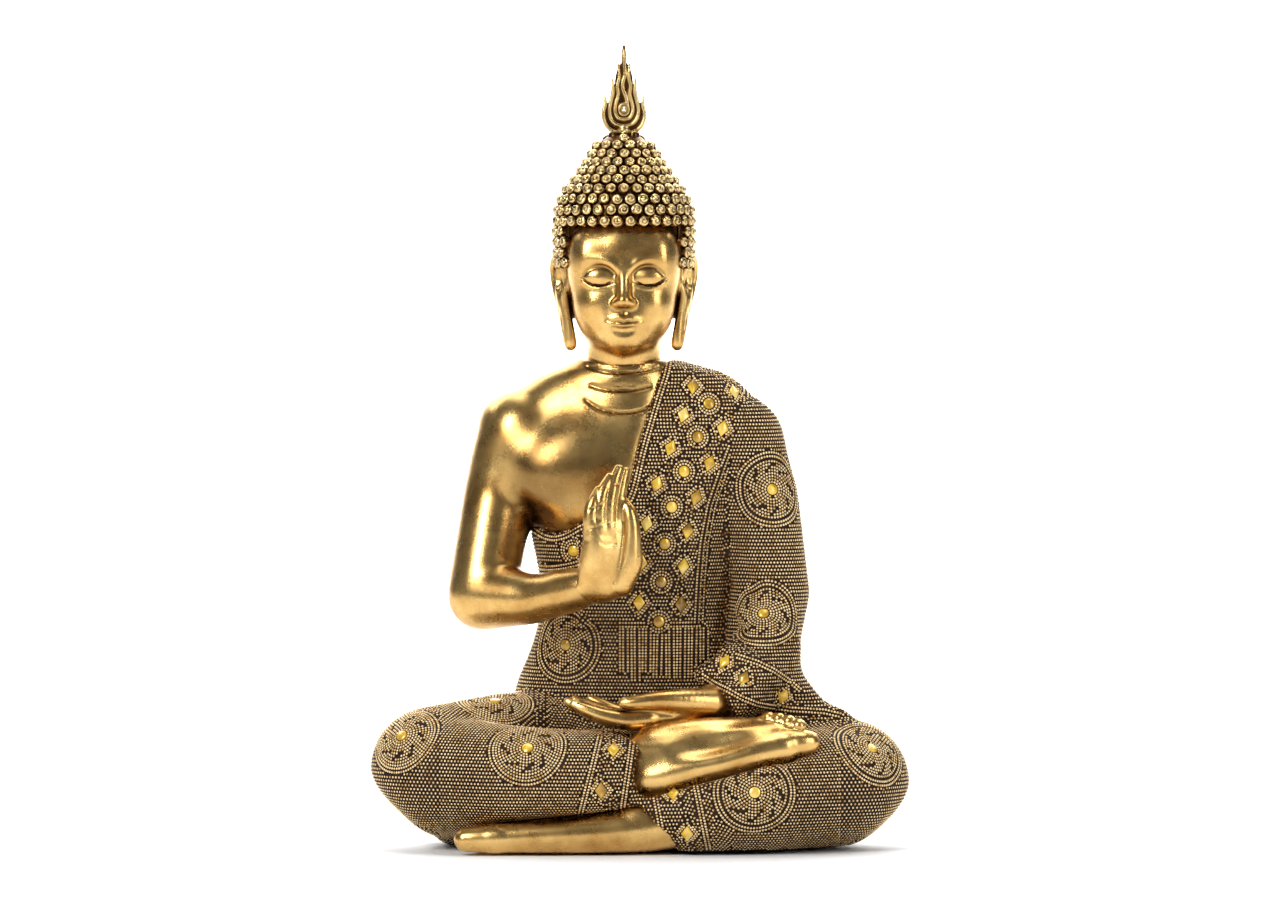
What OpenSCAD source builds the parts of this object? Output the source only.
// Seated figure in half-lotus with one hand raised, cast in resin, gilded and inlaid with mirrors.
// Frame: millimetres, +Z up, the figure faces -Y, and the origin is under the middle of the seat.

/* [Figure] */
// Overall height, from the felt pads to the tip of the flame
statue_h = 398; // [320:1:500]
// Wall of the hollow castings
wall = 6; // [5:0.5:8]
// How far the robe stands proud of the bare skin
robe_t = 1.4; // [0.8:0.2:2]

/* [Hair] */
// Diameter of one curl
curl_d = 5.2; // [4.6:0.1:5.6]
// Height of one curl
curl_h = 2.4; // [1.5:0.1:3]

/* [Mirrors] */
// Width of a diamond mirror
diamond_w = 6; // [4:0.2:7]
// Length of a diamond mirror
diamond_l = 8.6; // [6:0.2:10]
// Diameter of a round mirror
round_d = 5.4; // [4:0.2:6]
// Thickness of every mirror
mirror_t = 1.2; // [0.8:0.1:1.6]

/* [Base] */
// Thickness of the felt pads
felt_t = 1.2; // [1:0.2:2]
// Diameter of the felt pads
pad_d = 18; // [12:1:22]
// Thickness of the board that closes the hollow
board_t = 3; // [2:0.5:5]

/* [Joining] */
// Diameter of the steel pins in the wrists, ankles and flame
pin_d = 3; // [2:0.5:4]
// Diameter of the wooden dowels in the neck and shoulder
dowel_d = 8; // [6:1:10]

/* [Hidden] */

drawn_h = 398;              // the height at which every station below is drawn
size = statue_h / drawn_h;
fit = 0.15;                 // glue gap between pieces
tiny = 0.01;
body_fn = 22;               // facets round a limb
hand_fn = 10;               // facets round a finger or toe
hollow_fn = 12;             // facets round a cavity, which nobody sees
far = 400;                  // reaches past the figure in any direction

// ---- Stations. A limb is a chain of balls [x, y, z, radius], skinned one to the next. ----
right_thigh = [[-30, 26, 42, 36], [-68, 4, 41, 34.5], [-103, -15, 39.5, 30.5]];
right_shin = [[-99, -19, 36.5, 29.5], [-66, -41, 36.5, 25.5], [-30, -51, 38.5, 21.5], [6, -52, 39.5, 18]];
left_thigh = [[30, 26, 42, 36], [68, 4, 37.5, 33.5], [102.8, -13, 33, 30.7]];
left_shin = [[99, -21, 31.5, 29.5], [62, -43, 28, 27.5], [34, -51, 22.5, 21.5], [0, -53, 16.5, 16]];
hips = [[-34, 33, 43, 40], [34, 33, 43, 40]];
lap = [[-22, -18, 32, 27], [22, -18, 32, 27]];
inner_knee = [[48, -18, 24, 10], [56, -16, 26, 12]];    // closes the pocket between thigh and shin
right_hem_x = -2;           // the right trouser ends here, leaning hem_lean degrees
left_hem_x = 6;
hem_lean = 13;
seat_spots = [[-66, 12, 32], [66, 12, 32], [-34, 29, 34], [34, 29, 34]];    // flat underside: x, y and radius
seat_h = 18;
board_half = 60;            // the board is a slot shape: half length, radius and middle
board_r = 26;
board_y = 14;
board_room = 16;            // height of the opening above the board, up to the hollow
seat_flare = 7;
right_upper_arm = [[-60, 22, 206, 21.5], [-71, 20, 172, 17.5], [-78.5, 8, 125, 17.5]];
right_forearm = [[-78.5, 8, 124.5, 17.5], [-54, -10, 123.5, 12.8], [-24, -32, 130.5, 9]];
left_upper_arm = [[50, 22, 202, 20.5], [59, 20, 172, 20], [66, 13, 126, 18.5]];
left_forearm = [[65, 13, 124, 19], [61, -4, 99, 17.5], [54, -20, 82, 15], [45, -27, 75, 12.5]];
sleeve_fall = [[62, -4, 94, 15.5], [70, -9, 79, 12.5], [86, -12, 66.5, 8], [100, -14, 62.5, 6.5]];

// Trunk sections [z, centre x, centre y, half width, half depth], bare skin
trunk = [[66, 0, 31, 63, 34], [80, 0, 30, 60, 33], [96, 0, 28, 53.5, 32], [112, -1, 26, 48, 30.5],
    [130, -2, 24.5, 46.5, 29.5], [150, -3, 23.5, 49, 30], [170, -4, 22.5, 53, 31.5],
    [190, -4, 22, 57, 31], [205, -4, 22, 60, 29], [216, -4, 22, 59.5, 26], [225, -4, 22, 56, 23],
    [232, -4, 22, 49, 20.5], [237, -5, 21.5, 39, 18.5], [241, -7, 21, 24, 17]];
trunk_low = 70;             // the trunk stands on the leg casting at this height
trunk_top = 240.5;
ring_step = 6.5;            // height between trunk sections
slice_h = 0.8;              // each section has this much upright side
trunk_fn = 28;
cavity_top = 178;

// Edge of the robe, seen from the front as [x, z]; the skin above and left of it is bare
bare_outline = [[13, 250], [12, 238], [7, 222], [0, 198], [-6, 175], [-14, 167], [-28, 161.5],
    [-38, 156], [-45, 155], [-52, 158.5], [-60, 167], [-110, 167], [-110, 250]];

head_x = -8;
head_y = 20;
neck = [[head_x, 22, 212, 18.5], [head_x, 20, 232, 18], [head_x, 18, 254, 17.5]];
neck_rings = [[19.3, 218], [19, 227.5], [18.4, 237]];   // [ring radius, height]

// Hair: outline of the dome under the curls, [radius, z]
hair_low = 262;
hair_side = [[28, hair_low], [31.5, 272], [32.8, 290], [33.2, 306], [32.8, 316], [30.4, 324],
    [26.5, 331], [21.5, 338], [16.5, 345], [12, 350], [8, 353], [0, 353.6]];
hair_inside = [[0, 343], [9, 340], [16, 333], [22, 324], [27, 313], [29.2, 300], [29.6, 290], [28.4, 276],
    [22, hair_low]];
hairline_z = 307;
hairline = [[-27, 200], [-27.5, 286], [-24, 300], [-14, hairline_z - 1], [0, hairline_z],
    [14, hairline_z - 1], [24, 300], [27.5, 286], [27, 200]];
temple_y = 4;               // the hair's front edge, down the sides of the face
ear_y = 22;                 // hair hangs below the temples only behind the ears
ear_z = 287;
curl_pitch = 1.05;          // curl spacing in curl diameters
curl_sink = 0.15;           // depth of the glue bed under a curl

flame_z = 354;
flame_t = 6.4;
flame_step = 1.1;           // each inner layer of the flame stands this much prouder a side
flame_side = [[0, 0], [5.5, 0.4], [9.6, 3.2], [11.3, 8.4], [10.6, 13.6], [9.6, 19], [8.1, 15.6],
    [6.9, 20.6], [6.1, 27.6], [4.9, 24.4], [3.8, 29], [3.1, 35], [2.2, 31.6], [1.3, 37.4], [0, 44]];

// Sash: its middle line as [z, x], and the first row of mirrors
sash_middle = [[108, 9], [137, 10.5], [156, 12.5], [174, 16.5], [192, 23.5], [208, 30], [226, 36]];
sash_low = 121;
sash_pitch = 19.8;
sash_close = 0.37;          // the rows close up towards the shoulder
sash_rows = 7;
sash_half = 10.2;           // a diamond's distance from the middle line

// Mirrors on the limbs: [ball centre, ball radius, way out]
sleeve_rounds = [[[57.5, 20.3, 177], 20.1, [0.40, -0.9, 0.02]], [[63, 4.8, 112], 18.3, [-0.1, -0.97, 0.22]]];
sleeve_cuff_diamonds = [[[56.1, -15.3, 87], 15.7, [-0.92, -0.1, 0.4]],
    [[55, -17.7, 84.4], 15.3, [-0.25, -0.95, 0.06]],
    [[70, -9, 79], 12.5, [0.05, -0.97, -0.25]]];
cuff_up = [0.5, 0, 1];      // the cuff's diamonds lean along its folds
right_leg_rounds = [[[-103, -15, 39.5], 30.5, [-15, -20.6, 18.5]],
    [[-70, 2.8, 41], 34.4, [-0.05, -0.35, 0.93]],
    [[-55, -44.4, 37.2], 24, [0, -17.5, 15]]];
left_leg_rounds = [[[102.8, -13, 33], 30.7, [11.5, -23, 18]], [[56, -44, 27], 26.2, [0, -25.6, 4.5]]];
right_hem_diamonds = [[[-13, -52.2, 39.1], 20, [0, -14.7, 13.5]], [[-19, -51.8, 39], 20.5, [0, -19.5, -6.5]]];
left_hem_diamonds = [[[16, -53, 19.2], 18.7, [0, -13.5, 11.8]], [[23, -52.2, 20.5], 19.8, [0, -16.5, -9]]];

// ---- Small helpers ----
function unit(v) = v / norm(v);

// Value of column c at height z, on a smooth curve through the rows of table
function smooth(table, z, c) =
    let (last = len(table) - 1,
         found = [for (i = [0 : last - 1]) if (z >= table[i][0]) i],
         i = len(found) ? found[len(found) - 1] : 0,
         t = (z - table[i][0]) / (table[i + 1][0] - table[i][0]),
         before = table[max(i - 1, 0)][c], a = table[i][c], b = table[i + 1][c],
         after = table[min(i + 2, last)][c])
    a + 0.5 * t * (b - before + t * (2 * before - 5 * a + 4 * b - after
        + t * (3 * (a - b) + after - before)));

// Front surface of the trunk, robe included, at [x, z]
function trunk_front(x, z) =
    let (across = (x - smooth(trunk, z, 1)) / (smooth(trunk, z, 3) + robe_t))
    smooth(trunk, z, 2) - (smooth(trunk, z, 4) + robe_t) * sqrt(1 - across * across);

function trunk_out(x, z) =
    let (d = 0.5,
         dx = (trunk_front(x + d, z) - trunk_front(x - d, z)) / (2 * d),
         dz = (trunk_front(x, z + d) - trunk_front(x, z - d)) / (2 * d))
    unit([dx, -1, dz]);

// Stands its children on a surface: +Z along out, +Y as near up as it can be
module stand_on(at, out, up = [0, 0, 1]) {
    z = unit(out);
    x = unit(cross(up, z));
    y = cross(z, x);
    multmatrix([for (i = [0 : 2]) [x[i], y[i], z[i], at[i]]]) children();
}

module on_trunk(x, z, up = [0, 0, 1]) stand_on([x, trunk_front(x, z), z], trunk_out(x, z), up) children();

module on_ball(spot, up = [0, 0, 1]) stand_on(spot[0] + spot[1] * unit(spot[2]), spot[2], up) children();

module sized() scale(size) children();

module limb(chain, grow = 0, fine = body_fn)
    for (i = [0 : len(chain) - 2])
        hull()
            for (ball = [chain[i], chain[i + 1]])
                translate([ball[0], ball[1], ball[2]]) sphere(r = ball[3] + grow, $fn = fine);

module trunk_slice(z, grow, fine)
    translate([smooth(trunk, z, 1), smooth(trunk, z, 2), z])
        scale([smooth(trunk, z, 3) + grow, smooth(trunk, z, 4) + grow, 1])
            linear_extrude(slice_h, center = true) circle(r = 1, $fn = fine);

module trunk_solid(grow, low = trunk_low, top = trunk_top, fine = trunk_fn, step = ring_step) {
    count = ceil((top - low) / step);
    rise = (top - low) / count;
    for (i = [0 : count - 1])
        hull() {
            trunk_slice(low + i * rise, grow, fine);
            trunk_slice(low + (i + 1) * rise, grow, fine);
        }
}

// Cuts a trouser off at its hem, on the side the toes point to
module hemmed(x, side, lean)
    difference() {
        children();
        translate([x, 0, felt_t]) rotate([0, lean, 0])
            translate([side > 0 ? 0 : -far, -far / 2, -far / 2]) cube(far);
    }

module seat()
    hull()
        for (spot = seat_spots)
            translate([spot[0], spot[1], felt_t])
                cylinder(r1 = spot[2], r2 = spot[2] + seat_flare, h = seat_h, $fn = 32);

module legs_solid(grow = 0, fine = body_fn) {
    for (chain = [right_thigh, left_thigh, hips, lap, inner_knee]) limb(chain, grow, fine);
    hemmed(right_hem_x + grow, 1, hem_lean) limb(right_shin, grow, fine);
    hemmed(left_hem_x - grow, -1, -hem_lean) limb(left_shin, grow, fine);
}

module below(z) translate([-far / 2, -far / 2, z - far]) cube([far, far, far]);

module bare_region() translate([0, far / 2, 0]) rotate([90, 0, 0]) linear_extrude(far) polygon(bare_outline);

// ---- Mirrors ----
module diamond(grow = 0, deep = mirror_t)
    translate([0, 0, -deep / 2])
        linear_extrude(deep)
            polygon([[-diamond_w / 2 - grow, 0], [0, -diamond_l / 2 - grow],
                [diamond_w / 2 + grow, 0], [0, diamond_l / 2 + grow]]);

module disc(grow = 0, deep = mirror_t) cylinder(d = round_d + 2 * grow, h = deep, center = true, $fn = 24);

module seat_diamond() diamond(fit, mirror_t + 2 * fit);

module seat_disc() disc(fit, mirror_t + 2 * fit);

function sash_x(z) = lookup(z, sash_middle);

function sash_z(row) = sash_low + sash_pitch * row - sash_close * row * row;

module on_sash_sides()
    for (row = [0 : sash_rows - 1], side = [-1, 1]) {
        z = sash_z(row);
        lean = [sash_x(z + 6) - sash_x(z - 6), 0, 12];
        across = unit([lean[2], 0, -lean[0]]) * side * sash_half;
        on_trunk(sash_x(z) + across[0], z + across[2], lean) children();
    }

module on_sash_middle()
    for (row = [0 : sash_rows - 1]) {
        z = sash_z(row - 0.45);
        on_trunk(sash_x(z), z) children();
    }

module on_chest_band() on_trunk(-33, 147) children();

module on_hip() on_trunk(-37, 100) children();

module on_balls(spots, up = [0, 0, 1]) for (spot = spots) on_ball(spot, up) children();

// ---- Pins and dowels ----
wrist_right = [[-28, -30, 130.5], [-18, 11, -5]];
wrist_left = [[49, -25, 77], [9, 6, 7]];
ankle_right = [[-20, -50, 41.5], [-1, 0, 0]];
ankle_left = [[26, -53, 17], [1, 0, 0]];
pin_l = 14;
dowel_l = 26;
shoulder_spot = [-64, 22, 204];
neck_spot = [head_x, 22, 195];

module on_pins()
    for (p = [wrist_right, wrist_left, ankle_right, ankle_left])
        stand_on(p[0], p[1], [0, 0.1, 1]) children();

module pin(grow = 0) cylinder(d = pin_d + 2 * grow, h = pin_l + 2 * grow, center = true, $fn = 16);

module dowel(grow = 0) cylinder(d = dowel_d + 2 * grow, h = dowel_l + 2 * grow, center = true, $fn = 20);

module pin_holes() on_pins() pin(fit);

module shoulder_hole(grow = fit) translate(shoulder_spot) rotate([0, 90, 0]) dowel(grow);

module neck_hole(grow = fit) translate(neck_spot) dowel(grow);

// ---- Castings ----
module neck_solid(grow = 0) {
    limb(neck, grow, body_fn);
    for (ring = neck_rings)
        hull()
            for (lift = [-2.6, 2.6])
                translate([head_x, 20.5 + (237 - ring[1]) * 0.06, ring[1] + lift])
                    linear_extrude(slice_h, center = true) circle(r = ring[0] + grow, $fn = body_fn);
}

module leg_cavity() {
    for (chain = [right_thigh, left_thigh, hips, lap]) limb(chain, -wall, hollow_fn);
    translate([0, 31, trunk_low - 14]) scale([46, 25, 1]) cylinder(r = 1, h = 40, $fn = hollow_fn * 2);
    board_opening();
}

module board_opening()
    translate([0, board_y, felt_t - tiny])
        hull()
            for (side = [-1, 1])
                translate([side * board_half, 0, 0]) cylinder(r = board_r, h = board_room, $fn = 32);

module leg_casting() color("peru") sized()
    difference() {
        union() {
            legs_solid();
            seat();
        }
        leg_cavity();
        trunk_solid(robe_t + fit, trunk_low, 110);
        below(felt_t);
        left_foot_solid(fit);
        right_foot_solid(fit);
        pin_holes();
        on_balls(right_leg_rounds) seat_disc();
        on_balls(left_leg_rounds) seat_disc();
        on_balls(right_hem_diamonds) seat_diamond();
        on_balls(left_hem_diamonds) seat_diamond();
    }

module trunk_cavity() trunk_solid(-wall, trunk_low - 1, cavity_top, hollow_fn * 2, 20);

module robe_torso_casting() color("peru") sized()
    difference() {
        trunk_solid(robe_t);
        trunk_cavity();
        bare_region();
        neck_solid(fit);
        neck_hole();
        on_sash_sides() seat_diamond();
        on_sash_middle() seat_disc();
        on_chest_band() seat_disc();
        on_hip() seat_disc();
    }

module bare_chest_casting() color("gold") sized()
    difference() {
        intersection() {
            trunk_solid(0);
            bare_region();
        }
        trunk_cavity();
        neck_solid(fit);
        neck_hole();
        shoulder_hole();
    }

module left_sleeve_casting() color("peru") sized()
    difference() {
        union() {
            limb(left_upper_arm);
            limb(left_forearm);
            limb(sleeve_fall);
        }
        trunk_solid(robe_t + fit);
        legs_solid(fit);
        left_hand_solid(fit);
        pin_holes();
        on_balls(sleeve_rounds) seat_disc();
        on_balls(sleeve_cuff_diamonds, cuff_up) seat_diamond();
    }

module right_arm_casting() color("gold") sized()
    difference() {
        union() {
            limb(right_upper_arm);
            limb(right_forearm);
        }
        trunk_solid(robe_t + fit);
        shoulder_hole();
        right_hand_solid(fit);
        pin_holes();
    }

// ---- Hands and feet: each finger or toe is a chain of its own ----
right_palm = [[-22.5, -35, 132, 7.5], [-21, -39, 146, 7], [-20.5, -40, 158, 5.2]];
right_palm_inner = [[-15, -33, 135, 7.5], [-12, -35, 148, 6.4], [-12, -36, 159, 5]];
right_fingers = [
    [[-23, -41, 158, 3.9], [-23.4, -41.5, 168, 3.5], [-21.5, -39, 179, 2.6]],
    [[-19.4, -40, 160, 4], [-19.6, -40, 174, 3.6], [-16.8, -37, 186, 2.7]],
    [[-15.6, -38.5, 160, 4.1], [-14.6, -38, 176, 3.7], [-10.6, -34.5, 189, 2.8]],
    [[-11.8, -36.5, 160, 4], [-9.8, -35.5, 174, 3.6], [-6, -32, 186, 2.8]],
    [[-11, -35, 137, 7], [-4.6, -37, 149, 4.6], [-4.6, -38, 161, 3.8], [-7, -37.5, 171, 3]]];
left_palm = [[41, -27, 73, 9], [24, -34, 70, 8.5], [6, -38, 67, 6.5]];
left_palm_back = [[40, -24, 73, 8], [24, -24, 70, 8], [8, -26, 68, 6.5]];
left_fingers = [
    [[6, -41, 66.5, 4.6], [-14, -44.5, 67, 4.1], [-31, -43, 73.5, 3]],
    [[6, -36, 67, 4.6], [-16, -38.5, 67.5, 4.1], [-34, -37, 74.5, 3]],
    [[7, -31, 67.5, 4.5], [-14, -32.5, 68.5, 4], [-31, -31, 75, 2.9]],
    [[8, -26, 68, 4.2], [-9, -27, 69, 3.8], [-23, -26.5, 74, 2.8]],
    [[33, -33, 76, 6.5], [18, -39, 77.5, 5], [4, -42, 75.5, 4], [-8, -43, 74.5, 3.1]]];
right_sole_back = [[-6, -47, 45, 11], [6, -47, 48, 12.5], [36, -42, 57, 10.5], [62, -38, 60.5, 8.5]];
right_sole_front = [[-8, -52, 40, 11], [4, -57, 39.5, 12.5], [36, -58, 45, 10.5], [70, -53.5, 51.5, 9]];
right_toes = [
    [[62, -35, 61.5, 4.6], [72, -34.5, 64.5, 3.6]],
    [[64, -38.5, 61, 4.8], [77, -37.5, 63.5, 3.8]],
    [[66, -42.5, 59.5, 5], [81, -41, 61.5, 4]],
    [[68, -46.5, 57.5, 5.4], [84.5, -45, 58.8, 4.3]],
    [[70, -51.5, 53.5, 8], [86, -50.5, 54.6, 6]]];
left_foot_chain = [[14, -53, 16, 12.5], [-18, -59, 11.5, 10.5], [-52, -60, 9.6, 9.2], [-76, -60, 8.6, 8]];
left_foot_back = [[12, -47, 14, 11], [-20, -48, 11, 9.8], [-52, -46, 9.4, 8.2], [-70, -45, 8.4, 7.2]];
left_toes = [
    [[-76, -60.5, 8.6, 7.6], [-86.5, -60, 8, 6.4]],
    [[-74, -53.5, 9.6, 5.4], [-85, -53, 10.4, 4.2]],
    [[-72, -49, 9.6, 5], [-82, -48.5, 10.2, 3.9]],
    [[-70, -45, 9, 4.8], [-79, -44.5, 9.4, 3.7]],
    [[-67, -41, 8.6, 4.4], [-75, -41, 8.8, 3.4]]];

module between(a, b, grow = 0, fine = hand_fn + 4)
    for (i = [0 : len(a) - 2])
        hull()
            for (ball = [a[i], a[i + 1], b[i], b[i + 1]])
                translate([ball[0], ball[1], ball[2]]) sphere(r = ball[3] + grow, $fn = fine);

module right_hand_solid(grow = 0) {
    between(right_palm, right_palm_inner, grow);
    for (finger = right_fingers) limb(finger, grow, hand_fn);
}

module left_hand_solid(grow = 0) {
    between(left_palm, left_palm_back, grow);
    for (finger = left_fingers) limb(finger, grow, hand_fn);
}

module right_foot_solid(grow = 0) {
    between(right_sole_back, right_sole_front, grow);
    for (toe = right_toes) limb(toe, grow, hand_fn);
}

module left_foot_solid(grow = 0) {
    between(left_foot_chain, left_foot_back, grow);
    for (toe = left_toes) limb(toe, grow, hand_fn);
}

module right_hand() color("gold") sized()
    difference() {
        right_hand_solid();
        pin_holes();
    }

module left_hand() color("gold") sized()
    difference() {
        left_hand_solid();
        legs_solid(fit);
        trunk_solid(robe_t + fit, trunk_low, 110);
        right_foot_solid(fit);
        pin_holes();
    }

module right_foot() color("gold") sized()
    difference() {
        right_foot_solid();
        pin_holes();
    }

module left_foot() color("gold") sized()
    difference() {
        left_foot_solid();
        below(felt_t);
        pin_holes();
    }

// ---- Head ----
eye_z = 283;                // half way up the head without its hair
eye_half = 12.5;
face_y = -11;
eye_deep = 3.6;
module skull() {
    hull() {
        translate([head_x, head_y, 296]) sphere(r = 29, $fn = body_fn);
        translate([head_x, 10, 288]) sphere(r = 23, $fn = body_fn);
        translate([head_x, 11, 272]) sphere(r = 23, $fn = body_fn);
        translate([head_x, 22, 276]) sphere(r = 24, $fn = body_fn);
    }
    hull() {
        translate([head_x, 9, 274]) sphere(r = 22, $fn = body_fn);
        translate([head_x, 1, 256]) sphere(r = 10.5, $fn = hand_fn * 2);
        for (side = [-1, 1])
            translate([head_x + side * 12, 12, 263]) sphere(r = 10, $fn = hand_fn * 2);
    }
}

module nose()
    hull() {
        translate([head_x, face_y + 0.5, eye_z + 3]) sphere(r = 2, $fn = hand_fn);
        translate([head_x, face_y - 6.5, eye_z - 13]) sphere(r = 2.6, $fn = hand_fn);
        for (side = [-1, 1])
            translate([head_x + side * 3.6, face_y - 2.5, eye_z - 14]) sphere(r = 2.2, $fn = hand_fn);
    }

module eyelids()
    for (side = [-1, 1])
        hull()
            for (end = [-1, 0, 1])
                translate([head_x + side * (eye_half + end * 5),
                    face_y + eye_deep + end * 1.6, eye_z - abs(end)])
                    sphere(r = 3.4 - abs(end), $fn = hand_fn);

module brows()
    for (side = [-1, 1])
        limb([for (step = [0 : 3])
            [head_x + side * (4 + step * 6), face_y + 1.2 + step * step * 1.1,
                eye_z + 6.5 + 4 * sin(step * 55), 1.5]],
            0, hand_fn);

module lips()
    for (lip = [[0.6, 1.5], [-1.8, 1.8]])
        hull()
            for (end = [-1, 0, 1])
                translate([head_x + end * 6.2, face_y + 0.4 + abs(end) * 2.2, 263 + lip[0] + abs(end) * 0.5])
                    sphere(r = lip[1] - abs(end) * 0.6, $fn = hand_fn);

// Long-lobed ears
ear = [[28, 18, 288, 5], [32.5, 18, 284, 4], [31.5, 17, 272, 3.4], [28.6, 16, 258, 3], [27, 15, 249, 3.4]];
module ears()
    for (side = [-1, 1])
        limb([for (e = ear) [head_x + side * e[0], e[1], e[2], e[3]]], 0, hand_fn);

module head() color("gold") sized()
    difference() {
        union() {
            neck_solid();
            skull();
            nose();
            eyelids();
            brows();
            lips();
            ears();
        }
        hair_shell(fit);
        neck_hole();
    }

module hair_profile(grow)
    polygon(concat(
        [for (p = hair_side) [p[0] == 0 ? 0 : p[0] + grow, p[1] + (p[1] == hair_low ? -grow : grow)]],
        [for (p = hair_inside) [p[0] == 0 ? 0 : p[0] - grow, p[1] - grow]]));

module hair_shell(grow = 0)
    difference() {
        translate([head_x, head_y, 0]) rotate_extrude($fn = 48) hair_profile(grow);
        translate([head_x, temple_y - grow, 0])
            rotate([90, 0, 0]) linear_extrude(far / 2) polygon(hairline);
        translate([-far / 2, ear_y - far - grow, ear_z - far - grow]) cube(far);
    }

module hair_cap() color("goldenrod") sized()
    difference() {
        hair_shell();
        translate([0, 0, flame_z - 6]) flame_hole();
    }

module flame_hole()
    translate([head_x, head_y, 0]) cylinder(d = pin_d + 2 * fit, h = pin_l, center = true, $fn = 24);

// Curls in staggered rings that follow the dome
function dome_r(z) = lookup(z, [for (p = hair_side) [p[1], p[0]]]);
curl_rings = [266.5, 271.9, 277.3, 282.7, 288.1, 293.5, 298.9, 304.3, 309.7, 315, 319.8, 324.3, 328.6, 332.6,
    336.5, 340.4, 344.2, 348];
module curls()
    for (k = [0 : len(curl_rings) - 1]) {
        z = curl_rings[k];
        r = dome_r(z);
        slope = (dome_r(z + 1.5) - dome_r(z - 1.5)) / 3;
        count = floor(360 / (2 * asin(min(1, curl_d * curl_pitch / 2 / r))));
        for (i = [0 : count - 1]) {
            turn = (i + (k % 2) / 2) * 360 / count;
            out = unit([cos(turn), sin(turn), -slope]);
            at = [head_x + r * cos(turn), head_y + r * sin(turn), z];
            if (hair_here(at)) stand_on(at - curl_sink * out, out) curl();
        }
    }

// Above the hairline in front, and behind the ears lower down
function hair_here(p) =
    p[2] > hairline_z + 2
    || (p[1] > ear_y + curl_d / 2 && p[2] > hair_low + curl_d / 2)
    || (p[2] > ear_z + curl_d / 2 && p[1] > temple_y + curl_d / 2);

module curl() cylinder(d1 = curl_d, d2 = curl_d * 0.3, h = curl_h, $fn = 20);

module hair_curls() color("goldenrod") sized() curls();

// ---- Flame ----
jewel_r = 2.2;
jewel_l = flame_t / 2 + 2 * flame_step + 0.8;
module on_flame_front() translate([head_x, head_y, flame_z + 12]) rotate([90, 0, 0]) children();

module flame_layer(share, thick)
    translate([head_x, head_y + thick / 2, flame_z])
        rotate([90, 0, 0]) linear_extrude(thick)
            scale([share, share])
                polygon(concat(flame_side,
                    [for (i = [len(flame_side) - 2 : -1 : 1]) [-flame_side[i][0], flame_side[i][1]]]));

module flame_finial() color("goldenrod") sized()
    difference() {
        union() {
            flame_layer(1, flame_t);
            translate([0, 0, 2.6]) flame_layer(0.72, flame_t + 2 * flame_step);
            translate([0, 0, 5.2]) flame_layer(0.46, flame_t + 4 * flame_step);
        }
        translate([0, 0, flame_z]) flame_hole();
        on_flame_front() cylinder(r = jewel_r + fit, h = 40, $fn = 32);
    }

module flame_jewel() color("khaki") sized()
    on_flame_front()
        intersection() {
            cylinder(r = jewel_r, h = jewel_l, $fn = 32);
            cylinder(r1 = jewel_r + 6, r2 = jewel_r - 1, h = jewel_l, $fn = 32);
        }

module flame_pin() color("silver") sized()
    translate([head_x, head_y, flame_z - 2]) cylinder(d = pin_d, h = 9, center = true, $fn = 24);

// ---- Inlays, hardware and base ----
module sash_diamond_mirrors() color("gold") sized() on_sash_sides() diamond();
module sash_round_mirrors() color("gold") sized() on_sash_middle() disc();
module chest_band_round_mirror() color("gold") sized() on_chest_band() disc();
module hip_round_mirror() color("gold") sized() on_hip() disc();
module sleeve_round_mirrors() color("gold") sized() on_balls(sleeve_rounds) disc();
module sleeve_cuff_diamond_mirrors() color("gold") sized() on_balls(sleeve_cuff_diamonds, cuff_up) diamond();
module right_leg_round_mirrors() color("gold") sized() on_balls(right_leg_rounds) disc();
module left_leg_round_mirrors() color("gold") sized() on_balls(left_leg_rounds) disc();
module right_hem_diamond_mirrors() color("gold") sized() on_balls(right_hem_diamonds) diamond();
module left_hem_diamond_mirrors() color("gold") sized() on_balls(left_hem_diamonds) diamond();
module neck_dowel() color("burlywood") sized() neck_hole(0);
module shoulder_dowel() color("burlywood") sized() shoulder_hole(0);
module wrist_and_ankle_pins() color("silver") sized() on_pins() pin();

module base_board() color("saddlebrown") sized()
    translate([0, board_y, felt_t]) {
        for (side = [-1, 1])
            translate([side * board_half, 0, 0]) cylinder(r = board_r - fit, h = board_t, $fn = 64);
        translate([-board_half, fit - board_r, 0]) cube([2 * board_half, 2 * (board_r - fit), board_t]);
    }

pad_spots = [[0, 44], [-78, 14], [78, 14], [-36, -6], [36, -6]];
module felt_pads() color("dimgray") sized()
    for (at = pad_spots) translate([at[0], at[1], 0]) cylinder(d = pad_d, h = felt_t, $fn = 48);

leg_casting();
robe_torso_casting();
bare_chest_casting();
left_sleeve_casting();
right_arm_casting();
right_hand();
left_hand();
right_foot();
left_foot();
head();
hair_cap();
hair_curls();
flame_finial();
flame_jewel();
sash_diamond_mirrors();
sash_round_mirrors();
chest_band_round_mirror();
hip_round_mirror();
sleeve_round_mirrors();
sleeve_cuff_diamond_mirrors();
right_leg_round_mirrors();
left_leg_round_mirrors();
right_hem_diamond_mirrors();
left_hem_diamond_mirrors();
neck_dowel();
shoulder_dowel();
wrist_and_ankle_pins();
flame_pin();
base_board();
felt_pads();
